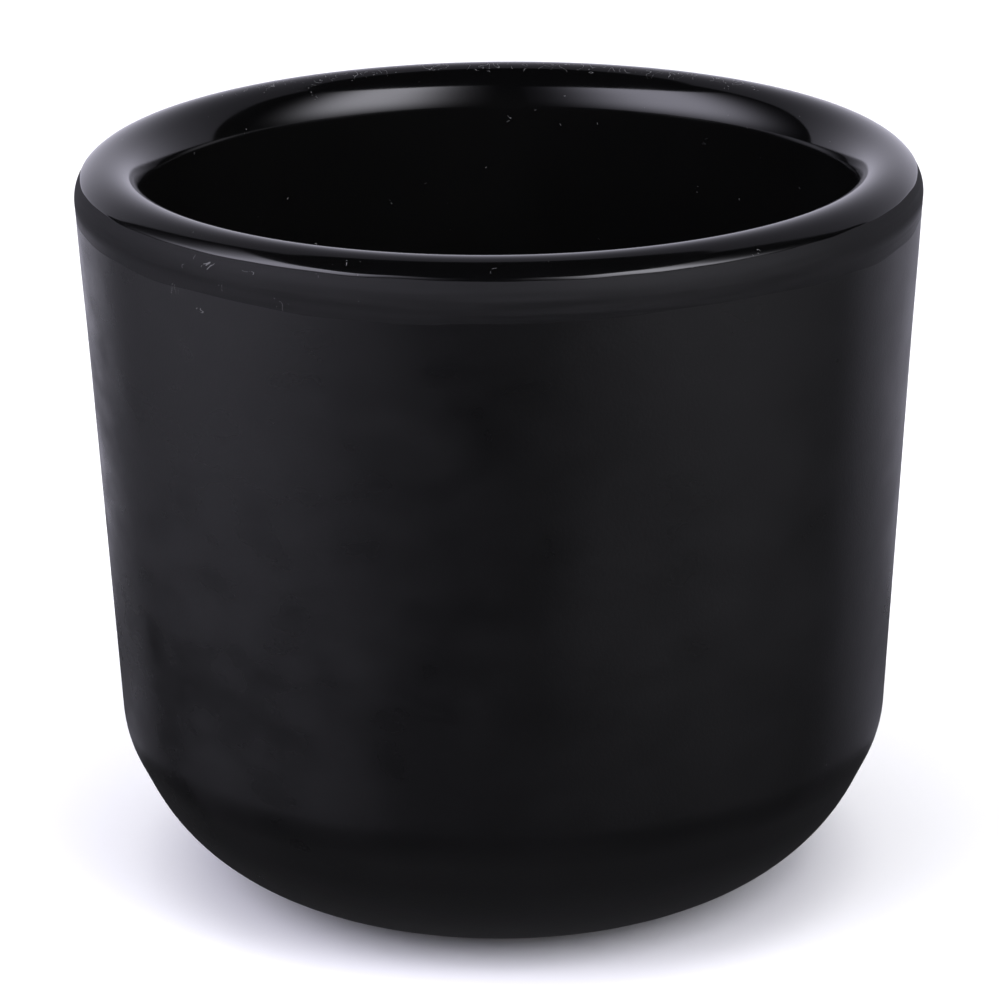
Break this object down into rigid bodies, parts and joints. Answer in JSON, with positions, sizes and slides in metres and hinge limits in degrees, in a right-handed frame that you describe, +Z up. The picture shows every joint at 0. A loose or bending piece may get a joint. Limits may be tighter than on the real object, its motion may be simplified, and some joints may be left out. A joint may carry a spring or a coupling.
{
  "type": "candle jar",
  "caption": "Round empty candle jar with a thick rolled rim, slightly flared wall and rounded base, gloss black inside and over the rim, matte black outside.",
  "frame": {"origin": "centre of the foot, on the surface that the jar stands on", "axes": "+Z up along the jar's axis of revolution, out of the mouth; X and Y are any two square directions"},
  "size_m": [0.09, 0.09, 0.0797],
  "materials": {
    "bare_clay": "bare fired stoneware, fine grain",
    "gloss_glaze": "gloss black glaze",
    "matte_coat": "satin to matte black coat, slightly mottled",
    "band_coat": "matte black coat, second pass, rougher and a little greyer",
    "recess_coat": "matte black coat, wiped at its edge"
  },
  "bodies": {
    "root": {"clay_body": "bare_clay", "liner_glaze": "gloss_glaze", "matte_coat": "matte_coat", "overlap_band": "band_coat", "base_coat": "recess_coat"}
  },
  "joints": []
}
